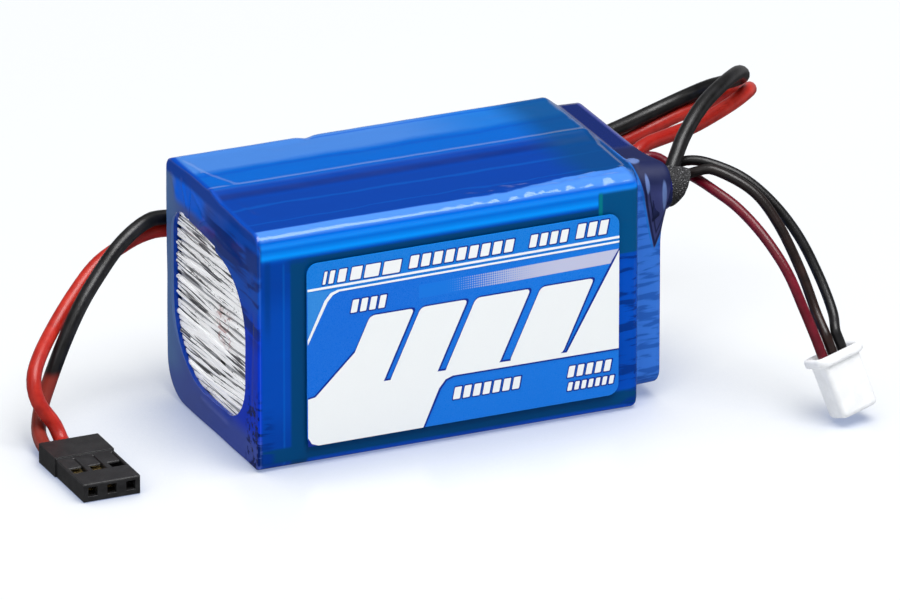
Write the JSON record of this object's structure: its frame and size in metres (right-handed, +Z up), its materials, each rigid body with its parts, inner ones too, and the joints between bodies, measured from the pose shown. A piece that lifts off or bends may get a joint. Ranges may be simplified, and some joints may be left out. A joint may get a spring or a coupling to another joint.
{
  "type": "lipo battery pack",
  "caption": "Two-cell lithium-polymer receiver pack in a shrink film, with a power lead on a flat plug and a short balance lead.",
  "frame": {"origin": "middle of the flat underside of the wrapped pack, on the surface it rests on", "axes": "+X along the pack towards the end the leads leave from, +Y from the labelled face to the back, +Z up"},
  "size_m": [0.1045, 0.0521, 0.0366],
  "materials": {
    "blue_film": "thin translucent blue shrink film, glossy and slightly rippled",
    "label_print": "printed glossy film label in blues and white",
    "striped_wrap": "filament-reinforced tape, silver with fine dark lines",
    "cell_pouch": "satin laminated pouch foil",
    "white_foam": "closed-cell foam",
    "aluminium_tab": "bare rolled strip",
    "nickel": "bare nickel strip",
    "fish_paper": "vulcanised fibre paper",
    "green_board": "glass-epoxy board with solder mask",
    "solder": "bright solder",
    "black_cloth_tape": "woven acetate cloth tape",
    "black_silicone": "silicone insulation, satin",
    "red_silicone": "silicone insulation, satin",
    "maroon_wire": "thin insulation, satin",
    "brown_wire": "thin insulation, satin",
    "black_plastic": "moulded polyester, fine satin",
    "white_plastic": "moulded nylon, satin",
    "gold_contact": "gold-plated crimp contact",
    "tin_contact": "tin-plated crimp contact"
  },
  "bodies": {
    "root": {"shrink_film": "blue_film", "front_label": "label_print", "filament_wrap": "striped_wrap", "front_cell": "cell_pouch", "rear_cell": "cell_pouch", "cell_gap_pad": "white_foam", "front_positive_tab": "aluminium_tab", "rear_positive_tab": "aluminium_tab", "front_negative_tab": "nickel", "rear_negative_tab": "nickel", "board_insulator": "fish_paper", "connection_board": "green_board", "series_link_strip": "nickel", "power_negative_solder": "solder", "power_positive_solder": "solder", "balance_positive_solder": "solder", "balance_middle_solder": "solder", "balance_negative_solder": "solder", "board_foam_cover": "white_foam", "lead_exit_tape": "black_cloth_tape", "power_lead_black": "black_silicone", "power_lead_red": "red_silicone", "balance_lead_maroon": "maroon_wire", "balance_lead_brown": "brown_wire", "balance_lead_black": "black_silicone", "servo_plug_housing": "black_plastic", "servo_contact_1": "gold_contact", "servo_contact_2": "gold_contact", "balance_plug_housing": "white_plastic", "balance_contact_1": "tin_contact", "balance_contact_2": "tin_contact", "balance_contact_3": "tin_contact"}
  },
  "joints": []
}
